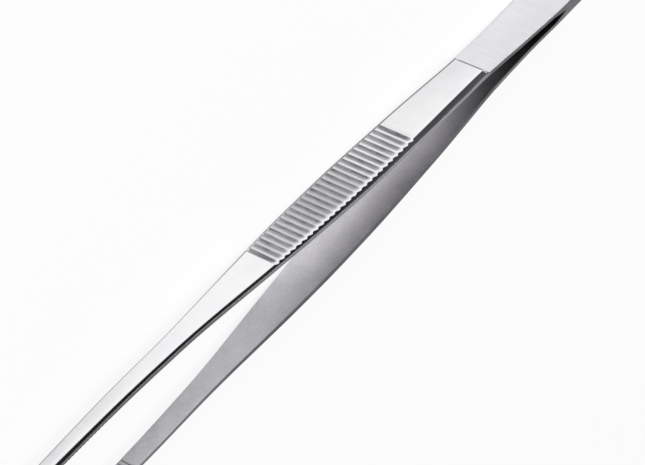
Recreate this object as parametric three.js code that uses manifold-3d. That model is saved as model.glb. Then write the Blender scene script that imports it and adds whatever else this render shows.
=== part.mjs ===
// Long stainless steel print tongs: two bowed spring arms, welded together at the tail.
// Lengths are in millimetres. Stations are measured along the tongs from the tail end.
// X runs from the tail to the jaws, Y from the front arm to the rear arm, and Z up across the
// width of the blades, which lie on their long edges. The origin is under the middle of the tongs.
import * as THREE from 'three';
import { mergeVertices } from 'three/addons/utils/BufferGeometryUtils.js';
import Module from 'manifold-3d';

const wasm = await Module();
wasm.setup();

// Lengths of the zones, from the tail to the tip
const weldLength = 12;
const leafLength = 28.2; // the flat leaf ends at a step, where the bevelled arm starts
const shoulderLength = 44;
const gripFallLength = 32;
const taperLength = 34;
const shankLength = 22.8;
const jawLength = 27; // the teeth run from the start of the jaw to the tip

const leafMiddle = weldLength + leafLength / 2;
const stepStation = weldLength + leafLength;
const gripStation = stepStation + shoulderLength; // where the blades are widest
const gripEndStation = gripStation + gripFallLength;
const neckStation = gripEndStation + taperLength;
const jawStation = neckStation + shankLength;
const overallLength = jawStation + jawLength;

// Width of the blades
const gripWidth = 14.8;
const tailWidth = 14.4;
const waistWidth = 12.4;
const gripEndWidth = 11.8;
const neckWidth = 6.75;
const jawWidth = 6;
const tipWidth = 5.15;
const tailCornerRadius = 4.5;
const tipCornerRadius = 2.2;

// Gap between the inner faces of the two arms, standing open
const weldThickness = 1.35;
const leafMiddleGap = 2;
const stepGap = 3.7;
const gripGap = 9.2;
const gripEndGap = 13.35;
const neckGap = 16.55;
const jawGap = 17.95;
const tipGap = 17.55;

// Thickness of the steel
const leafRootThickness = 0.9;
const leafEndThickness = 1.1;
const gripThickness = 1.6;
const gripEndThickness = 1.38;
const neckThickness = 1.26;
const tipThickness = 1.15;
const tipNoseDrop = 0.35; // the outer face rounds down by this much at the very end
const riserLength = 0.7; // the step's slanted riser

// Bevels along both long edges of each arm's outer face
const bevelAngle = THREE.MathUtils.degToRad(24);
const startBevelWidth = 1.27;
const gripBevelWidth = 0.95;
const gripEndBevelWidth = 0.6;
const neckBevelWidth = 0.55;
const tipBevelWidth = 1.05;
const greatestBevelShare = 0.75; // of the half width, where the tip rounds in

// The bevels run out on the leaf's outer face
const armStartThickness = leafEndThickness + startBevelWidth * Math.tan(bevelAngle);

// Grip ribs: grooves ground across the outer face, steeper on their tail side
const grooveCount = 26;
const groovePitch = 1.92;
const firstGrooveSetback = 27.15; // from the step to the first groove's tail side
const grooveWidth = 1.65; // at the lip
const grooveLip = 0.03; // the profile starts this far above the face
const grooveDepth = 0.25;
const grooveFloorShare = 0.25; // of the width, from the tail side to the deepest line

// Jaw teeth: V cuts across the inner face
const toothPitch = 1.285;
const toothCutWidth = 1.05;
const toothDepth = 0.28;
const plainTipLength = 0.8;

// Making sizes
const ringSpacing = 4;
const cornerRings = 8;
const grooveSides = 8;
const grooveCrowdingShare = 1.5; // above one, the sides crowd towards the steep wall
const cutterOverrun = 1;
const cutterFlare = 0.2;
const cutterLength = gripWidth + 2 * cutterOverrun;

// Materials
const polishedSteel = { color: 0xd9dadc, roughness: 0.24, metalness: 1 };
const satinSteel = { color: 0xcfd0d2, roughness: 0.38, metalness: 1 };
const weldSteel = { color: 0xbdbec1, roughness: 0.45, metalness: 1 };

// Smooth curve through [station, value] pairs, level at each high and low point
function curveThrough(knots) {
  const rises = knots.slice(1).map((knot, i) => (knot[1] - knots[i][1]) / (knot[0] - knots[i][0]));
  const slopes = knots.map((knot, i) => {
    const before = rises[Math.max(i - 1, 0)];
    const after = rises[Math.min(i, rises.length - 1)];
    return before * after > 0 ? (2 * before * after) / (before + after) : 0;
  });
  return (station) => {
    let i = 0;
    while (i < knots.length - 2 && station > knots[i + 1][0]) i += 1;
    const span = knots[i + 1][0] - knots[i][0];
    const u = THREE.MathUtils.clamp((station - knots[i][0]) / span, 0, 1);
    const ease = u * u * (3 - 2 * u);
    const lead = u * (1 - u) * (1 - u) * span * slopes[i];
    const trail = u * u * (u - 1) * span * slopes[i + 1];
    return THREE.MathUtils.lerp(knots[i][1], knots[i + 1][1], ease) + lead + trail;
  };
}

const halfWidthAlong = curveThrough([
  [0, tailWidth / 2],
  [weldLength, tailWidth / 2],
  [stepStation, waistWidth / 2],
  [gripStation, gripWidth / 2],
  [gripEndStation, gripEndWidth / 2],
  [neckStation, neckWidth / 2],
  [jawStation, jawWidth / 2],
  [overallLength, tipWidth / 2],
]);

const innerFaceAlong = curveThrough([
  [weldLength, weldThickness / 2],
  [leafMiddle, leafMiddleGap / 2],
  [stepStation, stepGap / 2],
  [gripStation, gripGap / 2],
  [gripEndStation, gripEndGap / 2],
  [neckStation, neckGap / 2],
  [jawStation, jawGap / 2],
  [overallLength, tipGap / 2],
]);

const leafThicknessAlong = curveThrough([
  [weldLength, leafRootThickness],
  [stepStation, leafEndThickness],
]);

const armThicknessAlong = curveThrough([
  [stepStation, armStartThickness],
  [gripStation, gripThickness],
  [gripEndStation, gripEndThickness],
  [neckStation, neckThickness],
  [overallLength, tipThickness],
]);

const bevelWidthAlong = curveThrough([
  [stepStation, startBevelWidth],
  [gripStation, gripBevelWidth],
  [gripEndStation, gripEndBevelWidth],
  [neckStation, neckBevelWidth],
  [overallLength, tipBevelWidth],
]);

// How far a rounded corner has turned in at a distance from the square end
function cornerInset(distance, radius) {
  const reach = Math.max(radius - distance, 0);
  return radius - Math.sqrt(radius * radius - reach * reach);
}

function halfWidthAt(station) {
  const tailInset = cornerInset(station, tailCornerRadius);
  const tipInset = cornerInset(overallLength - station, tipCornerRadius);
  return halfWidthAlong(station) - tailInset - tipInset;
}

function armOuterAt(station) {
  const nose = cornerInset(overallLength - station, tipCornerRadius) / tipCornerRadius;
  return innerFaceAlong(station) + armThicknessAlong(station) - nose * tipNoseDrop;
}

// The riser climbs from the leaf's outer face to the arm's
function steppedOuterAt(station) {
  const leafOuter = innerFaceAlong(station) + leafEndThickness;
  const climb = Math.min((station - stepStation) / riserLength, 1);
  return THREE.MathUtils.lerp(leafOuter, armOuterAt(station), climb);
}

// Evenly spaced stations, both ends included
function spaced(start, end) {
  const count = Math.max(Math.ceil((end - start) / ringSpacing), 1);
  return Array.from({ length: count + 1 }, (_, i) => THREE.MathUtils.lerp(start, end, i / count));
}

// Stations that crowd towards the square end of a rounded corner
function cornerStations(endStation, radius, inward) {
  return Array.from({ length: cornerRings }, (_, i) => {
    const turn = (i / cornerRings) * (Math.PI / 2);
    return endStation + inward * radius * (1 - Math.cos(turn));
  });
}

// Closed solid through a row of rings, which all have the same number of points
function loft(rings) {
  const size = rings[0].length;
  const positions = rings.flat().flatMap((point) => point.toArray());
  const index = [];
  for (let ring = 0; ring < rings.length - 1; ring += 1) {
    for (let i = 0; i < size; i += 1) {
      const a = ring * size + i;
      const b = ring * size + ((i + 1) % size);
      index.push(a, b, b + size, a, b + size, a + size);
    }
  }
  const last = (rings.length - 1) * size;
  for (let i = 1; i < size - 1; i += 1) {
    index.push(0, i + 1, i, last, last + i, last + i + 1);
  }
  const geometry = new THREE.BufferGeometry();
  geometry.setAttribute('position', new THREE.Float32BufferAttribute(positions, 3));
  geometry.setIndex(index);
  return geometry;
}

// The same shape on the other side of the middle plane
function mirrored(geometry) {
  const copy = geometry.clone().scale(1, -1, 1);
  const index = Array.from(copy.index.array);
  for (let i = 0; i < index.length; i += 3) {
    [index[i], index[i + 1]] = [index[i + 1], index[i]];
  }
  copy.setIndex(index);
  return copy;
}

function toSolid(geometry) {
  const bare = geometry.clone();
  bare.deleteAttribute('normal');
  bare.deleteAttribute('uv');
  const merged = mergeVertices(bare);
  return new wasm.Manifold(new wasm.Mesh({
    numProp: 3,
    vertProperties: new Float32Array(merged.attributes.position.array),
    triVerts: new Uint32Array(merged.index.array),
  }));
}

function toGeometry(solid) {
  const mesh = solid.getMesh();
  const geometry = new THREE.BufferGeometry();
  geometry.setAttribute('position', new THREE.BufferAttribute(mesh.vertProperties, 3));
  geometry.setIndex(new THREE.BufferAttribute(mesh.triVerts, 1));
  return geometry;
}

// Cross sections, outlined the same way round: out at +Y, seen from the tail
function barRing(station, inner, outer) {
  const half = halfWidthAt(station);
  return [
    new THREE.Vector3(station, inner, -half),
    new THREE.Vector3(station, outer, -half),
    new THREE.Vector3(station, outer, half),
    new THREE.Vector3(station, inner, half),
  ];
}

function armRing(station) {
  const half = halfWidthAt(station);
  const inner = innerFaceAlong(station);
  const outer = steppedOuterAt(station);
  const bevel = Math.min(bevelWidthAlong(station), half * greatestBevelShare);
  const shoulder = Math.min(armOuterAt(station) - bevel * Math.tan(bevelAngle), outer);
  return [
    new THREE.Vector3(station, inner, -half),
    new THREE.Vector3(station, shoulder, -half),
    new THREE.Vector3(station, outer, -half + bevel),
    new THREE.Vector3(station, outer, half - bevel),
    new THREE.Vector3(station, shoulder, half),
    new THREE.Vector3(station, inner, half),
  ];
}

function tailStations() {
  return [...cornerStations(0, tailCornerRadius, 1), ...spaced(tailCornerRadius, weldLength)];
}

// One welded tail end, flat inside and out
function tailGeometry() {
  const inner = weldThickness / 2;
  return loft(tailStations().map((station) => barRing(station, inner, inner + leafRootThickness)));
}

// The weld between the two tails, ground flush with their edges
function weldGeometry() {
  const half = weldThickness / 2;
  return loft(tailStations().map((station) => barRing(station, -half, half)));
}

// The thin spring leaf, from the weld to the step
function leafGeometry() {
  return loft(spaced(weldLength, stepStation).map((station) => {
    const inner = innerFaceAlong(station);
    return barRing(station, inner, inner + leafThicknessAlong(station));
  }));
}

// Cutter lying across the outer face, with the groove's profile along its lower side
function grooveCutter(start) {
  const end = start + grooveWidth;
  const dropAlong = curveThrough([
    [start, -grooveLip],
    [start + grooveWidth * grooveFloorShare, grooveDepth],
    [end, -grooveLip],
  ]);
  const profile = new THREE.Shape();
  profile.moveTo(end + cutterFlare, armOuterAt(end) + cutterOverrun);
  profile.lineTo(start - cutterFlare, armOuterAt(start) + cutterOverrun);
  for (let i = 0; i <= grooveSides; i += 1) {
    const along = (i / grooveSides) ** grooveCrowdingShare;
    const station = THREE.MathUtils.lerp(start, end, along);
    profile.lineTo(station, armOuterAt(station) - dropAlong(station));
  }
  profile.closePath();
  const cutter = new THREE.ExtrudeGeometry(profile, { depth: cutterLength, bevelEnabled: false });
  cutter.translate(0, 0, -cutterLength / 2);
  return cutter;
}

// Three-sided cutter lying across the inner face, with its edge at the tooth's root
function toothCutter(station) {
  const flare = toothCutWidth / toothDepth;
  const profile = new THREE.Shape();
  profile.moveTo(0, toothDepth);
  profile.lineTo(-(toothCutWidth + flare * cutterOverrun) / 2, -cutterOverrun);
  profile.lineTo((toothCutWidth + flare * cutterOverrun) / 2, -cutterOverrun);
  profile.closePath();
  const cutter = new THREE.ExtrudeGeometry(profile, { depth: cutterLength, bevelEnabled: false });
  cutter.translate(station, innerFaceAlong(station), -cutterLength / 2);
  return cutter;
}

// The ribbed part of an arm, from the step to the neck
function gripGeometry() {
  const stations = [stepStation, ...spaced(stepStation + riserLength, neckStation)];
  let solid = toSolid(loft(stations.map(armRing)));
  for (let i = 0; i < grooveCount; i += 1) {
    const station = stepStation + firstGrooveSetback + i * groovePitch;
    solid = solid.subtract(toSolid(grooveCutter(station)));
  }
  return toGeometry(solid);
}

// The slender part of an arm, from the neck to the tip. The front teeth stand half a pitch on
// from the rear ones, to mesh.
function jawGeometry(toothShift) {
  const stations = [
    ...spaced(neckStation, overallLength - tipCornerRadius),
    ...cornerStations(overallLength, tipCornerRadius, -1).reverse(),
  ];
  let solid = toSolid(loft(stations.map(armRing)));
  const lastTooth = overallLength - plainTipLength - toothCutWidth / 2;
  let station = jawStation + toothCutWidth / 2 + toothShift;
  while (station < lastTooth) {
    solid = solid.subtract(toSolid(toothCutter(station)));
    station += toothPitch;
  }
  return toGeometry(solid);
}

function piece(name, geometry, finish) {
  const mesh = new THREE.Mesh(geometry, new THREE.MeshStandardMaterial(finish));
  mesh.name = name;
  return mesh;
}

const group = new THREE.Group();
group.add(
  piece('tail_weld', weldGeometry(), weldSteel),
  piece('rear_tail', tailGeometry(), satinSteel),
  piece('front_tail', mirrored(tailGeometry()), satinSteel),
  piece('rear_spring_leaf', leafGeometry(), satinSteel),
  piece('front_spring_leaf', mirrored(leafGeometry()), satinSteel),
  piece('rear_grip', gripGeometry(), polishedSteel),
  piece('front_grip', mirrored(gripGeometry()), polishedSteel),
  piece('rear_jaw', jawGeometry(0), polishedSteel),
  piece('front_jaw', mirrored(jawGeometry(toothPitch / 2)), polishedSteel),
);
group.position.set(-overallLength / 2, 0, gripWidth / 2);

export default group;
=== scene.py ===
import math

import bmesh
import bpy
from mathutils import Matrix, Vector


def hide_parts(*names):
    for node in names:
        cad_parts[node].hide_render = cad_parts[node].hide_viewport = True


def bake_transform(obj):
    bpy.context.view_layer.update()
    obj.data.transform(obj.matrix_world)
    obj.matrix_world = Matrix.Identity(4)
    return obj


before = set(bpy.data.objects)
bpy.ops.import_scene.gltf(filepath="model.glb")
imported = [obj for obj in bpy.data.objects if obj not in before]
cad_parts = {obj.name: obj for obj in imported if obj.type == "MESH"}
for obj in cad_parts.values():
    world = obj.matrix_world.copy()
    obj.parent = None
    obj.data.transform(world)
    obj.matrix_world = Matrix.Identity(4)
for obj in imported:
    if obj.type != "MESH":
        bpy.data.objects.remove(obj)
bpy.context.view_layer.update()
mm = 0.001
scene = bpy.context.scene

# Stations run along the tongs from the tail end, in millimetres. The origin is half way.
# The near blade in the picture is the front one, and its lower edge is on the left there.
blade = {
    "length": 200.0,
    "middleHeight": 7.4,
    "weldEnd": 12.0,
    "weldEdge": 0.02,  # length over which the inner face drops to the weld's pointed end
    "fillet": 4.5,  # length of the weld's pointed end between the blades
    "step": 39.7,
    "stepEdge": 0.05,
    "riser": 0.8,
    "tailCorner": 4.5,
    "tipCorner": 2.2,
    "cornerColumns": 12,
    "noseDrop": 0.35,  # how far the outer face falls at the tip
    "halfWidth": [(0, 7.2), (12, 7.2), (26, 6.6), (40.2, 6.2), (52, 6.68), (64, 7.15),
                  (84.2, 7.38), (100, 6.92), (116.2, 5.93), (150.2, 3.375), (173, 3.0),
                  (200, 2.575)],
    "innerFace": [(12, 0.675), (26.1, 1.1), (40.2, 1.98), (56, 3.03), (84.2, 4.62),
                  (116.2, 6.675), (150.2, 8.275), (173, 8.97), (200, 8.775)],
    "leafThickness": [(12, 0.9), (40.2, 1.02)],
    "armThickness": [(40.2, 1.7), (84.2, 1.6), (116.2, 1.38), (150.2, 1.26), (200, 1.15)],
    "bevelWidth": [(40.2, 1.42), (52, 1.5), (84.2, 1.25), (116.2, 0.9), (150.2, 0.84),
                   (200, 1.25)],
    "bevelSlope": [(40.2, 0.58), (62, 0.57), (84.2, 0.5), (116.2, 0.46), (200, 0.455)],
    "lowerBevelSlope": 0.455,
    "lowerBevelShare": [(0, 1), (118, 1), (142, 0.68), (200, 0.62)],  # of the upper one's width
    "mostBevel": 0.75,  # share of the half width that a bevel may take
    "bevelSoftness": 0.16,  # share of its width over which the bevel turns in
    "bevelRows": [1.16, 1.08, 1, 0.92, 0.84, 0.74, 0.64, 0.54, 0.42],
    "cornerStart": 0.2,  # share of the bevel's width where the rounding of the side takes over
    "sideDraft": [(40.2, 0.1), (62, 0.17), (108, 0.17), (150.2, 0)],
    "outerRound": [(40.2, 0.1), (62, 0.1), (84.2, 0.06), (200, 0.05)],
    "paintedBevelShade": [(40, 0.9), (62, 0.9), (110, 0.5), (130, 0), (200, 0)],  # painted shade on the lower bevel, darkest near the step
    "paintedBevelShadeWidth": 0.9,  # share of that bevel which the painted shade covers
    "faceShade": [(40, 0.01), (62, 0.02), (118, 0), (160, 0), (175, 0.03), (200, 0.08)],
    "lowerShade": [(40, 0.31), (62, 0.17), (80, 0.13), (110, 0.08), (125, 0.05), (140, 0.08),
                   (155, 0.14), (175, 0.28), (200, 0.3)],
    "leafRound": 0.15,
    # painted shade on the inner faces, darkest between the blades by the weld and again towards
    # the jaws
    "paintedInnerShade": [(0, 1), (18, 1), (31, 0.7), (43, 0.48), (52, 0.28), (62, 0.14), (75, 0.17),
             (89, 0.09), (103, 0.12), (116, 0.26), (128, 0.27), (150, 0.3), (168, 0.38),
             (200, 0.4)],
    # how the painted shade on the inner faces leans towards one long edge
    "paintedInnerShadeLean": [(45, 0.1), (62, 0.22), (75, 0.4), (89, 0.37), (103, 0.28), (116, 0.06),
                 (128, -0.08), (150, -0.12), (200, -0.16)],
    "columnSpacing": 1.5,
    "leastSpacing": 0.004,
}

# each groove drops steeply from the crest on its tail side and climbs slowly to the next
ribs = {
    "count": 26,
    "pitch": 1.92,
    "first": 67.39,
    "width": 1.48,
    "depth": 0.32,
    "endDepthShare": 1.35,  # the first and the last groove are deeper
    "floorShare": 0.25,
    "riseTop": 0.65,  # how much of the depth is gone at each long edge
    "riseFoot": 0.2,
    "buffedTop": 1.6,  # buffing has brightened this length of each groove's ends
    "buffedFoot": 0.15,
    # share of the dark tint across each groove: the grey of the grinding, with painted shade by
    # the steep wall on its tail side
    "ground": [(0, 0), (0.05, 1), (0.25, 1), (0.4, 0.88), (0.8, 0.72), (0.93, 0.45), (1, 0)],
    # the middle crests are less bright
    "dullCrest": [(66.5, 0), (67.5, 0.2), (80, 0.2), (88, 0.51), (97, 0.59), (105, 0.5),
                  (114, 0.42), (117, 0)],
    "columns": [0, 0.03, 0.07, 0.12, 0.18, 0.25, 0.33, 0.43, 0.55, 0.68, 0.8, 0.9, 1],
}

teeth = {
    "start": 173.0,
    "pitch": 1.285,
    "width": 1.05,
    "depth": 0.28,
    "plainTip": 0.8,
    "edgeRise": 0.6,  # how much of the depth is gone at the long edges
    "columns": [-0.5, -0.25, 0, 0.25, 0.5],
}
tiny = 0.001


def curveThrough(knots):  # smooth, and level at each high and low point
    rises = [(b[1] - a[1]) / (b[0] - a[0]) for a, b in zip(knots, knots[1:])]
    slopes = []
    for i in range(len(knots)):
        before = rises[max(i - 1, 0)]
        after = rises[min(i, len(rises) - 1)]
        slopes.append(2 * before * after / (before + after) if before * after > 0 else 0)

    def along(station):
        i = 0
        while i < len(knots) - 2 and station > knots[i + 1][0]:
            i += 1
        span = knots[i + 1][0] - knots[i][0]
        u = min(max((station - knots[i][0]) / span, 0), 1)
        ease = u * u * (3 - 2 * u)
        lead = u * (1 - u) * (1 - u) * span * slopes[i]
        trail = u * u * (u - 1) * span * slopes[i + 1]
        return knots[i][1] + (knots[i + 1][1] - knots[i][1]) * ease + lead + trail

    return along


halfWidthAlong = curveThrough(blade["halfWidth"])
innerFaceAlong = curveThrough(blade["innerFace"])
leafThicknessAlong = curveThrough(blade["leafThickness"])
armThicknessAlong = curveThrough(blade["armThickness"])
bevelWidthAlong = curveThrough(blade["bevelWidth"])
bevelSlopeAlong = curveThrough(blade["bevelSlope"])
lowerBevelShareAlong = curveThrough(blade["lowerBevelShare"])
sideDraftAlong = curveThrough(blade["sideDraft"])
outerRoundAlong = curveThrough(blade["outerRound"])
paintedInnerShadeAlong = curveThrough(blade["paintedInnerShade"])
paintedInnerShadeLeanAlong = curveThrough(blade["paintedInnerShadeLean"])
paintedBevelShadeAlong = curveThrough(blade["paintedBevelShade"])
faceShadeAlong = curveThrough(blade["faceShade"])
lowerShadeAlong = curveThrough(blade["lowerShade"])


def cornerInset(distance, radius):
    reach = max(radius - distance, 0)
    return radius - math.sqrt(radius * radius - reach * reach)


def halfWidthAt(station):
    tail = cornerInset(station, blade["tailCorner"])
    tip = cornerInset(blade["length"] - station, blade["tipCorner"])
    return halfWidthAlong(station) - tail - tip


def armOuterAt(station):
    nose = cornerInset(blade["length"] - station, blade["tipCorner"]) / blade["tipCorner"]
    return innerFaceAlong(station) + armThicknessAlong(station) - nose * blade["noseDrop"]


def grooveStarts():
    return [ribs["first"] + i * ribs["pitch"] for i in range(ribs["count"])]


def toothCentres(shift):
    centres = []
    station = teeth["start"] + teeth["width"] / 2 + shift
    while station < blade["length"] - teeth["plainTip"] - teeth["width"] / 2:
        centres.append(station)
        station += teeth["pitch"]
    return centres


def bladeColumns(toothShift):  # stations of the mesh columns: close where the shape is fine
    weldEnd, step = blade["weldEnd"], blade["step"]
    stations = {0.0, blade["length"], weldEnd, weldEnd + blade["weldEdge"],
                weldEnd + blade["fillet"], step, step + blade["stepEdge"],
                step + blade["riser"]}
    for i in range(1, blade["cornerColumns"]):
        turn = 1 - math.cos(math.radians(90 * i / blade["cornerColumns"]))
        stations.add(blade["tailCorner"] * turn)
        stations.add(blade["length"] - blade["tipCorner"] * turn)
    for start in grooveStarts():
        stations.update(start + share * ribs["width"] for share in ribs["columns"])
    for centre in toothCentres(toothShift):
        stations.update(centre + share * teeth["width"] for share in teeth["columns"])
    ordered = sorted(stations)
    columns = [ordered[0]]
    for station in ordered[1:]:
        gap = station - columns[-1]
        if gap < blade["leastSpacing"]:
            continue
        parts = math.ceil(gap / blade["columnSpacing"])
        start = columns[-1]
        columns.extend(start + gap * (i + 1) / parts for i in range(parts))
    return columns


grooveDrop = curveThrough([(0, 0), (ribs["floorShare"] * ribs["width"], ribs["depth"]),
                           (ribs["width"], 0)])
groundAlong = curveThrough(ribs["ground"])
dullCrestAlong = curveThrough(ribs["dullCrest"])


def grooveCutAt(station, height):  # depth of the groove here, below the outer face
    along = (station - ribs["first"]) % ribs["pitch"]
    last = ribs["first"] + ribs["count"] * ribs["pitch"]
    if station < ribs["first"] - tiny or station > last - tiny or along > ribs["width"]:
        return 0
    rise = ribs["riseTop"] if height > 0 else ribs["riseFoot"]
    isEnd = station < ribs["first"] + ribs["pitch"] or station > last - ribs["pitch"]
    depthShare = ribs["endDepthShare"] if isEnd else 1
    return grooveDrop(along) * depthShare * (1 - rise * (height / halfWidthAt(station)) ** 2)


def innerFaceAt(station):
    past = station - blade["weldEnd"]
    if past < blade["weldEdge"] / 2:
        return innerFaceAlong(station)
    return innerFaceAlong(station) - max(1 - past / blade["fillet"], 0) * blade["innerFace"][0][1]


def toothShareAt(station, centres):
    offset = min(abs(station - centre) for centre in centres)
    return max(1 - offset * 2 / teeth["width"], 0)


def bevelPlanAt(station, height):
    plan = bevelWidthAlong(max(station, blade["step"]))
    if height < 0:
        plan *= lowerBevelShareAlong(station)
    return min(plan, halfWidthAt(station) * blade["mostBevel"])


def slopeOfBevelAt(station, height):
    return bevelSlopeAlong(station) if height > 0 else blade["lowerBevelSlope"]


def bevelDropAt(station, height):  # how far the bevel lies under the outer face here
    plan = bevelPlanAt(station, height)
    past = abs(height) - halfWidthAt(station) + plan
    soft = plan * blade["bevelSoftness"]
    if past < soft:
        past = max(past + soft, 0) ** 2 / (4 * soft)
    return past * slopeOfBevelAt(station, height)


def outerAt(station, height):
    inner = innerFaceAlong(station)
    if station < blade["step"] + tiny:
        return inner + leafThicknessAlong(station)
    leafOuter = inner + blade["leafThickness"][-1][1]
    full = armOuterAt(station)
    climb = min((station - blade["step"]) / blade["riser"], 1)
    riser = leafOuter + (full - leafOuter) * climb
    return min(riser, full - max(bevelDropAt(station, height), grooveCutAt(station, height)))


def roundedCorner(before, corner, after, radius, steps):
    toBefore = (Vector(before) - Vector(corner)).normalized()
    toAfter = (Vector(after) - Vector(corner)).normalized()
    halfAngle = toBefore.angle(toAfter) / 2
    centre = Vector(corner) + (toBefore + toAfter).normalized() * radius / math.sin(halfAngle)
    reach = radius / math.tan(halfAngle)
    first = Vector(corner) + toBefore * reach - centre
    last = Vector(corner) + toAfter * reach - centre
    spokes = [first.lerp(last, i / steps).normalized() * radius for i in range(steps + 1)]
    return [tuple(centre + spoke) for spoke in spokes]


# The points round the blade, from one bevel over the outer face and round by the inner face
flatRows = [-0.94, -0.86, -0.6, -0.3, 0, 0.3, 0.5, 0.68, 0.8, 0.9]
innerRows = [0.6, 0.2, -0.2, -0.6]
outerSteps = 4
bevelStart = len(flatRows) - 1
outerCorner = len(flatRows) + len(blade["bevelRows"])
innerCorner = outerCorner + outerSteps + 1
farOuterCorner = innerCorner + len(innerRows) + 2
farBevel = farOuterCorner + outerSteps + 1
around = farBevel + len(blade["bevelRows"])


def bladeSection(station, centres):  # the outline of one column as (height, distance out)
    outerHalf = halfWidthAt(station)
    half = outerHalf - (sideDraftAlong(station) if station > blade["step"] else 0)
    plans = {way: bevelPlanAt(station, way) for way in (1, -1)}
    inner = innerFaceAt(station)
    cut = toothShareAt(station, centres) * teeth["depth"]
    edgeInner = inner + cut * (1 - teeth["edgeRise"])
    onArm = station > blade["step"] + tiny
    outerRound = outerRoundAlong(station) if onArm else blade["leafRound"]
    side = []
    for way in (1, -1):
        nearCorner = way * (outerHalf - plans[way] * blade["cornerStart"])
        # the lower bevel steepens towards the side
        steeper = (bevelSlopeAlong(station) - slopeOfBevelAt(station, way)) * plans[way] * onArm
        shoulder = outerAt(station, way * outerHalf) - steeper
        beforeCorner = outerAt(station, nearCorner) - steeper * (1 - blade["cornerStart"])
        outerArc = roundedCorner(
            (nearCorner, beforeCorner), (way * outerHalf, shoulder),
            (way * half, edgeInner), outerRound, outerSteps)
        side.append([*outerArc, (way * half, edgeInner)])
    flat = [share * (outerHalf - plans[1 if share > 0 else -1]) for share in flatRows]
    down = {way: [way * (outerHalf - plans[way] * share) for share in blade["bevelRows"]]
            for way in (1, -1)}
    ring = [(height, outerAt(station, height)) for height in flat + down[1]]
    ring += side[0]
    ring += [(share * half, inner + cut * (1 - teeth["edgeRise"] * share ** 4))
             for share in innerRows]
    ring += reversed(side[1])
    ring += [(height, outerAt(station, height)) for height in reversed(down[-1])]
    return ring


def groundShare(station, height, centres, row):  # share of the dark tint: the grey of the grinding in the cuts, with painted shade by the grooves' steep walls, between the blades, on the lower bevel and low on the faces
    if innerCorner <= row < farOuterCorner:
        lean = paintedInnerShadeLeanAlong(station) * height / halfWidthAt(station)
        return max(toothShareAt(station, centres), paintedInnerShadeAlong(station) + lean, 0)
    half = halfWidthAt(station)
    onArm = station > blade["step"]
    plan = bevelPlanAt(station, height)
    # painted shade on the lower bevel
    if onArm and height < blade["paintedBevelShadeWidth"] * plan - half:
        return paintedBevelShadeAlong(station)
    shade = faceShadeAlong(station) + lowerShadeAlong(station) * (half - height) / (2 * half)
    share = max(dullCrestAlong(station), shade * onArm)
    if grooveCutAt(station, height):
        along = (station - ribs["first"]) % ribs["pitch"] / ribs["width"]
        share = max(share, groundAlong(along))
    toEnd = half - plan - abs(height)
    if height < 0:
        toEnd += grooveCutAt(station, height) / blade["lowerBevelSlope"]
    buffed = ribs["buffedTop"] if height > 0 else ribs["buffedFoot"]
    endPart = min(max(toEnd / buffed, 0), 1)
    if height < 0 and not grooveCutAt(station, height):
        endPart = 1 if toEnd >= 0 else 0
    return share * endPart * endPart * (3 - 2 * endPart)


def faceKind(station, height, row):
    onArm = station > blade["step"]
    if row < bevelStart:
        if not onArm:
            return "tailFace"
        return "riser" if station < blade["step"] + blade["riser"] else "face"
    if row < innerCorner - 1 or row >= farOuterCorner:
        if not onArm:
            return "edge" if outerCorner <= row < farBevel else "tailFace"
        cutsBevel = grooveCutAt(station, height) > bevelDropAt(station, height)
        beforeBevel = abs(height) < halfWidthAt(station) - bevelPlanAt(station, height)
        return "face" if cutsBevel or beforeBevel else "bevel"
    return "inner" if innerCorner <= row < farOuterCorner - 1 else "edge"


shading = {
    "sharpAngle": 24,  # degrees
    "grooveAngle": 8,
}


def makeBlade(name, side, toothShift, finishes):
    centres = toothCentres(toothShift)
    columns = bladeColumns(toothShift)
    sections = [bladeSection(station, centres) for station in columns]
    kinds = list(finishes)
    bm = bmesh.new()
    # a sheet with one row for each point of the outline, closed into a tube
    bmesh.ops.create_grid(bm, x_segments=len(columns) - 1, y_segments=around, size=1)
    ground = bm.verts.layers.float.new("ground")
    places = {}
    for v in bm.verts:
        i = round((v.co.x + 1) / 2 * (len(columns) - 1))
        row = round((v.co.y + 1) / 2 * around) % around
        places[v] = (i, row)
        height, out = sections[i][row]
        v[ground] = groundShare(columns[i], height, centres, row)
        v.co = Vector((
            (columns[i] - blade["length"] / 2) * mm,
            side * out * mm,
            (height + blade["middleHeight"]) * mm,
        ))
    for face in bm.faces:
        spots = [places[v] for v in face.verts]
        station = sum(columns[i] for i, row in spots) / 4
        height = sum(sections[i][row][0] for i, row in spots) / 4
        rows = [row for i, row in spots]
        row = min(rows) if max(rows) - min(rows) < 2 else around - 1
        face.material_index = kinds.index(faceKind(station, height, row))
        face.smooth = True
    bmesh.ops.remove_doubles(bm, verts=bm.verts, dist=tiny * mm)
    bmesh.ops.recalc_face_normals(bm, faces=bm.faces)
    creases = {blade["step"], blade["step"] + blade["riser"]}
    for start in grooveStarts():
        creases.update((start, start + ribs["width"]))
    creaseColumns = {min(range(len(columns)), key=lambda i: abs(columns[i] - s)) for s in creases}
    for e in bm.edges:
        angle = math.degrees(e.calc_face_angle(0))
        i, k = [places[v][0] for v in e.verts]
        acrossCrease = i == k and i in creaseColumns
        if angle > (shading["grooveAngle"] if acrossCrease else shading["sharpAngle"]):
            e.smooth = False
    rims = [e for e in bm.edges if e.is_boundary]
    for face in bmesh.ops.holes_fill(bm, edges=rims, sides=0)["faces"]:
        face.material_index = kinds.index("edge")
        face.smooth = False
    bmesh.ops.recalc_face_normals(bm, faces=bm.faces)
    mesh = bpy.data.meshes.new(name)
    bm.to_mesh(mesh)
    bm.free()
    piece = bpy.data.objects.new(name, mesh)
    scene.collection.objects.link(piece)
    for finish in finishes.values():
        mesh.materials.append(finish)
    print(name, len(mesh.vertices), "points")
    return piece


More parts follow.
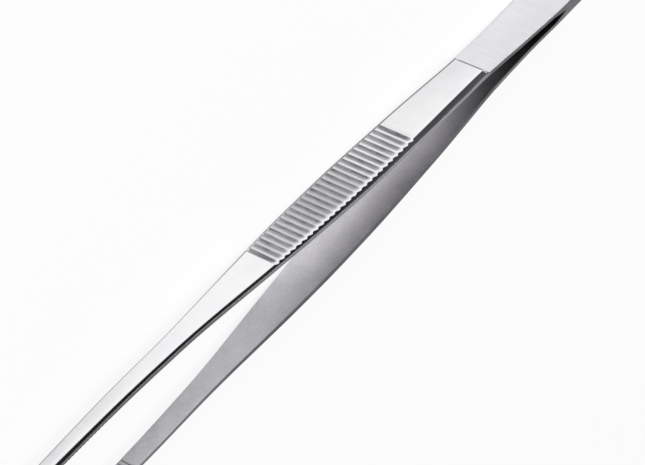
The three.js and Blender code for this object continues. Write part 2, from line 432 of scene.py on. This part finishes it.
def node(tree, kind, x, y, **values):
    made = tree.nodes.new(kind)
    made.location = (x, y)
    for key, value in values.items():
        setattr(made, key, value)
    return made


noiseRange = (0.3, 0.7)  # the part of the noise that goes from dark to light
brushingDepth = 0.02


def steelFinish(name, look):  # bare steel with fine brushing and faint clouding
    material = bpy.data.materials.new(name)
    material.use_nodes = True
    tree = material.node_tree
    shader = tree.nodes["Principled BSDF"]
    shader.inputs["Metallic"].default_value = 1
    place = node(tree, "ShaderNodeTexCoord", -1500, 0)
    cloud = node(tree, "ShaderNodeTexNoise", -1100, -100)
    cloud.inputs["Scale"].default_value = look["cloudScale"]
    cloud.inputs["Detail"].default_value = 3
    tree.links.new(place.outputs["Object"], cloud.inputs["Vector"])

    def brushing(scale, y):
        stretch = node(tree, "ShaderNodeMapping", -1300, y)
        stretch.inputs["Scale"].default_value = scale
        tree.links.new(place.outputs["Object"], stretch.inputs["Vector"])
        noise = node(tree, "ShaderNodeTexNoise", -1100, y)
        noise.inputs["Scale"].default_value = 1
        noise.inputs["Detail"].default_value = 4
        tree.links.new(stretch.outputs["Vector"], noise.inputs["Vector"])
        return noise.outputs["Fac"]

    def tintAndRoughness(part, y):
        streaks = brushing(part["brush"], y)
        cloudPart = node(tree, "ShaderNodeMath", -900, y - 200, operation="MULTIPLY")
        cloudPart.inputs[1].default_value = 1 - part["brushShare"]
        tree.links.new(cloud.outputs["Fac"], cloudPart.inputs[0])
        pattern = node(tree, "ShaderNodeMath", -700, y, operation="MULTIPLY_ADD")
        pattern.inputs[1].default_value = part["brushShare"]
        tree.links.new(streaks, pattern.inputs[0])
        tree.links.new(cloudPart.outputs[0], pattern.inputs[2])
        tint = node(tree, "ShaderNodeValToRGB", -500, y)
        tint.color_ramp.elements[0].position = noiseRange[0]
        tint.color_ramp.elements[0].color = (*part["dark"], 1)
        tint.color_ramp.elements[1].position = noiseRange[1]
        tint.color_ramp.elements[1].color = (*part["light"], 1)
        tree.links.new(pattern.outputs[0], tint.inputs["Fac"])
        rough = node(tree, "ShaderNodeMapRange", -500, y - 300)
        rough.inputs["From Min"].default_value = noiseRange[0]
        rough.inputs["From Max"].default_value = noiseRange[1]
        rough.inputs["To Min"].default_value = part["roughness"][0]
        rough.inputs["To Max"].default_value = part["roughness"][1]
        tree.links.new(pattern.outputs[0], rough.inputs["Value"])
        return tint.outputs["Color"], rough.outputs["Result"], streaks

    color, roughness, brush = tintAndRoughness(look, 300)
    if "ground" in look:  # the dark tint mixes in by each point's share: the grey of the grinding in the cuts, and painted shade
        groundColor, groundRoughness = tintAndRoughness(look["ground"], -400)[:2]
        share = node(tree, "ShaderNodeAttribute", -500, 600, attribute_name="ground")
        mixColor = node(tree, "ShaderNodeMix", -150, 400, data_type="RGBA")
        tree.links.new(share.outputs["Fac"], mixColor.inputs["Factor"])
        tree.links.new(color, mixColor.inputs["A"])
        tree.links.new(groundColor, mixColor.inputs["B"])
        mixRough = node(tree, "ShaderNodeMix", -150, 100, data_type="FLOAT")
        tree.links.new(share.outputs["Fac"], mixRough.inputs["Factor"])
        tree.links.new(roughness, mixRough.inputs["A"])
        tree.links.new(groundRoughness, mixRough.inputs["B"])
        color, roughness = mixColor.outputs["Result"], mixRough.outputs["Result"]
    tree.links.new(color, shader.inputs["Base Color"])
    tree.links.new(roughness, shader.inputs["Roughness"])
    bump = node(tree, "ShaderNodeBump", -250, -300)
    bump.inputs["Strength"].default_value = look["bump"]
    bump.inputs["Distance"].default_value = brushingDepth * mm
    tree.links.new(brush, bump.inputs["Height"])
    tree.links.new(bump.outputs["Normal"], shader.inputs["Normal"])
    return material


across = (2600, 900, 130)  # brushing that runs across the blade
lengthwise = (110, 900, 2600)
blasted = (1500, 1500, 1500)
grinding = (2300, 300, 300)
looks = {
    "tailFace": {"brush": across, "cloudScale": 120, "brushShare": 0.6,
                 "dark": (0.745, 0.74, 0.775), "light": (0.845, 0.84, 0.875),
                 "roughness": (0.26, 0.32), "bump": 0.03},
    "face": {"brush": lengthwise, "cloudScale": 160, "brushShare": 0.35,
             "dark": (0.92, 0.915, 0.94), "light": (1, 0.995, 1),
             "roughness": (0.14, 0.24), "bump": 0.08,
             # the dark tint: the grey of the grinding in the grooves, and painted shade on the
             # faces
             "ground": {"brush": grinding, "brushShare": 0.8, "dark": (0.1, 0.098, 0.107),
                        "light": (0.42, 0.413, 0.44), "roughness": (0.32, 0.42)}},
    # the riser is tinted very dark: painted shade in the step's crease, on a rough finish
    "riser": {"brush": across, "cloudScale": 300, "brushShare": 0.5,
              "dark": (0.12, 0.12, 0.125), "light": (0.2, 0.2, 0.205),
              "roughness": (0.4, 0.5), "bump": 0.1},
    # the bevels are tinted darker than the faces, which deepens their dark reflection: painted
    # shade
    "bevel": {"brush": lengthwise, "cloudScale": 90, "brushShare": 0.2,
              "dark": (0.345, 0.335, 0.36), "light": (0.425, 0.415, 0.445),
              "roughness": (0.08, 0.1), "bump": 0,
              # the dark tint of the painted shade on the lower bevel
              "ground": {"brush": grinding, "brushShare": 0.5, "dark": (0.09, 0.09, 0.095),
                         "light": (0.13, 0.13, 0.137), "roughness": (0.2, 0.26)}},
    "edge": {"brush": lengthwise, "cloudScale": 200, "brushShare": 0.4,
             "dark": (0.66, 0.65, 0.68), "light": (0.77, 0.76, 0.795),
             "roughness": (0.18, 0.24), "bump": 0.03},
    "inner": {"brush": blasted, "cloudScale": 200, "brushShare": 0.5,
              "dark": (0.59, 0.578, 0.608), "light": (0.79, 0.775, 0.812),
              "roughness": (0.34, 0.44), "bump": 0.3,
              # the dark tint: painted shade between the blades, and the grey of the tooth cuts
              "ground": {"brush": blasted, "brushShare": 0.5, "dark": (0.08, 0.08, 0.085),
                         "light": (0.16, 0.16, 0.165), "roughness": (0.35, 0.45)}},
}
finishes = {kind: steelFinish(kind + "Steel", look) for kind, look in looks.items()}
print("steel finishes made")

frontBlade = makeBlade("front_blade", -1, teeth["pitch"] / 2, finishes)
rearBlade = makeBlade("rear_blade", 1, 0, finishes)
for piece, hand in ((frontBlade, "front"), (rearBlade, "rear")):
    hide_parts(hand + "_tail", hand + "_spring_leaf", hand + "_grip", hand + "_jaw")
    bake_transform(piece)

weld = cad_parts["tail_weld"]
weld.data.materials.clear()
weld.data.materials.append(finishes["edge"])
print("blades made")


stage = {
    "halfWidth": 3,
    "floor": (0.93, 0.93, 0.93, 1),
    "whiteShareSeen": 0.85,
    "whiteShareMirrored": 0.78,
}


def plainStage():
    floorMesh = bpy.data.meshes.new("floor")
    bm = bmesh.new()
    bmesh.ops.create_grid(bm, x_segments=1, y_segments=1, size=stage["halfWidth"])
    bm.to_mesh(floorMesh)
    bm.free()
    floor = bpy.data.objects.new("floor", floorMesh)
    scene.collection.objects.link(floor)
    paint = bpy.data.materials.new("paleFloor")
    paint.use_nodes = True
    tree = paint.node_tree
    tree.nodes.clear()
    out = node(tree, "ShaderNodeOutputMaterial", 600, 0)
    matt = node(tree, "ShaderNodeBsdfDiffuse", 0, 100)
    matt.inputs["Color"].default_value = stage["floor"]
    glow = node(tree, "ShaderNodeEmission", 0, -100)
    glow.inputs["Strength"].default_value = 1
    seen = node(tree, "ShaderNodeLightPath", -800, 0)
    mirrored = node(tree, "ShaderNodeMath", -500, -100, operation="MAXIMUM")
    mirroredShare = node(tree, "ShaderNodeMath", -300, -100, operation="MULTIPLY")
    mirroredShare.inputs[1].default_value = stage["whiteShareMirrored"]
    share = node(tree, "ShaderNodeMath", -100, 300, operation="MULTIPLY_ADD")
    share.inputs[1].default_value = stage["whiteShareSeen"]
    mix = node(tree, "ShaderNodeMixShader", 300, 0)
    tree.links.new(seen.outputs["Is Glossy Ray"], mirrored.inputs[0])
    tree.links.new(seen.outputs["Is Transmission Ray"], mirrored.inputs[1])
    tree.links.new(mirrored.outputs[0], mirroredShare.inputs[0])
    tree.links.new(seen.outputs["Is Camera Ray"], share.inputs[0])
    tree.links.new(mirroredShare.outputs[0], share.inputs[2])
    tree.links.new(share.outputs[0], mix.inputs["Fac"])
    tree.links.new(matt.outputs["BSDF"], mix.inputs[1])
    tree.links.new(glow.outputs["Emission"], mix.inputs[2])
    tree.links.new(mix.outputs["Shader"], out.inputs["Surface"])
    floorMesh.materials.append(paint)


overhead = {
    "place": (0, -0.8, 1.2),
    "size": (2, 1.6),
    "power": 22.5,
}


def overheadBox():
    lamp = bpy.data.lights.new("overheadBox", "AREA")
    lamp.shape = "RECTANGLE"
    lamp.size, lamp.size_y = overhead["size"]
    lamp.energy = overhead["power"]
    holder = bpy.data.objects.new("overheadBox", lamp)
    holder.location = overhead["place"]
    aim = -Vector(overhead["place"])
    holder.rotation_euler = aim.to_track_quat("-Z", "Y").to_euler()
    scene.collection.objects.link(holder)


# brightness of the room by height, dark in front and pale behind
room = {
    "front": [(0, 0.006), (0.07, 0.01), (0.13, 0.1), (0.24, 0.22), (0.66, 0.22), (1, 0.5)],
    "back": [(0, 0.62), (0.4, 0.42), (0.66, 0.2), (0.8, 0.14), (0.9, 0.14), (1, 0.3)],
    "backFrom": 0.0,
    "backTo": 0.5,
}


def studioWorld():
    world = bpy.data.worlds.new("studio")
    scene.world = world
    world.use_nodes = True
    tree = world.node_tree
    tree.nodes.clear()
    out = node(tree, "ShaderNodeOutputWorld", 800, 0)
    place = node(tree, "ShaderNodeTexCoord", -800, 0)
    split = node(tree, "ShaderNodeSeparateXYZ", -600, 0)
    shades = []
    for half, spot in (("front", 200), ("back", -100)):
        shade = node(tree, "ShaderNodeValToRGB", -400, spot)
        (lowest, lowValue), *between, (highest, highValue) = room[half]
        floorEnd, skyEnd = shade.color_ramp.elements
        floorEnd.position, skyEnd.position = lowest, highest
        floorEnd.color = (lowValue, lowValue, lowValue, 1)
        skyEnd.color = (highValue, highValue, highValue, 1)
        for height, value in between:
            shade.color_ramp.elements.new(height).color = (value, value, value, 1)
        tree.links.new(split.outputs["Z"], shade.inputs["Fac"])
        shades.append(shade.outputs["Color"])
    toBack = node(tree, "ShaderNodeMapRange", -400, 450, interpolation_type="SMOOTHSTEP")
    toBack.inputs["From Min"].default_value = room["backFrom"]
    toBack.inputs["From Max"].default_value = room["backTo"]
    tree.links.new(split.outputs["Y"], toBack.inputs["Value"])
    walls = node(tree, "ShaderNodeMix", -50, 200, data_type="RGBA")
    tree.links.new(toBack.outputs["Result"], walls.inputs["Factor"])
    tree.links.new(shades[0], walls.inputs["A"])
    tree.links.new(shades[1], walls.inputs["B"])
    lit = node(tree, "ShaderNodeBackground", 150, 100)
    white = node(tree, "ShaderNodeBackground", 100, -100)
    white.inputs["Color"].default_value = (1, 1, 1, 1)
    seen = node(tree, "ShaderNodeLightPath", 100, 400)
    mix = node(tree, "ShaderNodeMixShader", 500, 0)
    tree.links.new(place.outputs["Generated"], split.inputs["Vector"])
    tree.links.new(walls.outputs["Result"], lit.inputs["Color"])
    tree.links.new(seen.outputs["Is Camera Ray"], mix.inputs["Fac"])
    tree.links.new(lit.outputs["Background"], mix.inputs[1])
    tree.links.new(white.outputs["Background"], mix.inputs[2])
    tree.links.new(mix.outputs["Shader"], out.inputs["Surface"])


plainStage()
studioWorld()
overheadBox()
print("stage and light set")

view = {
    "right": (-0.6527, 0.325, 0.6844),
    "forward": (-0.3652, 0.6565, -0.6601),
    "shiftRight": -1.4245,
    "shiftDown": 0.5172,
    "distance": 1250.0,
    "focalPixels": 5126.75,
    "pictureWidth": 645,
    "sensorWidth": 36,
    "clip": (0.01, 20),
}


def photoCamera():
    forward = Vector(view["forward"]).normalized()
    right = Vector(view["right"])
    right = (right - forward * right.dot(forward)).normalized()
    up = right.cross(forward)
    place = Vector((0, 0, blade["middleHeight"])) - right * view["shiftRight"]
    place = place + up * view["shiftDown"] - forward * view["distance"]
    lens = bpy.data.cameras.new("photoCamera")
    lens.sensor_fit = "HORIZONTAL"
    lens.sensor_width = view["sensorWidth"]
    lens.lens = view["focalPixels"] * view["sensorWidth"] / view["pictureWidth"]
    lens.clip_start, lens.clip_end = view["clip"]
    holder = bpy.data.objects.new("photoCamera", lens)
    turn = Matrix((right, up, -forward)).transposed().to_4x4()
    holder.matrix_world = Matrix.Translation(place * mm) @ turn
    scene.collection.objects.link(holder)
    scene.camera = holder


photoCamera()
scene.view_settings.view_transform = "Standard"
print("camera set")
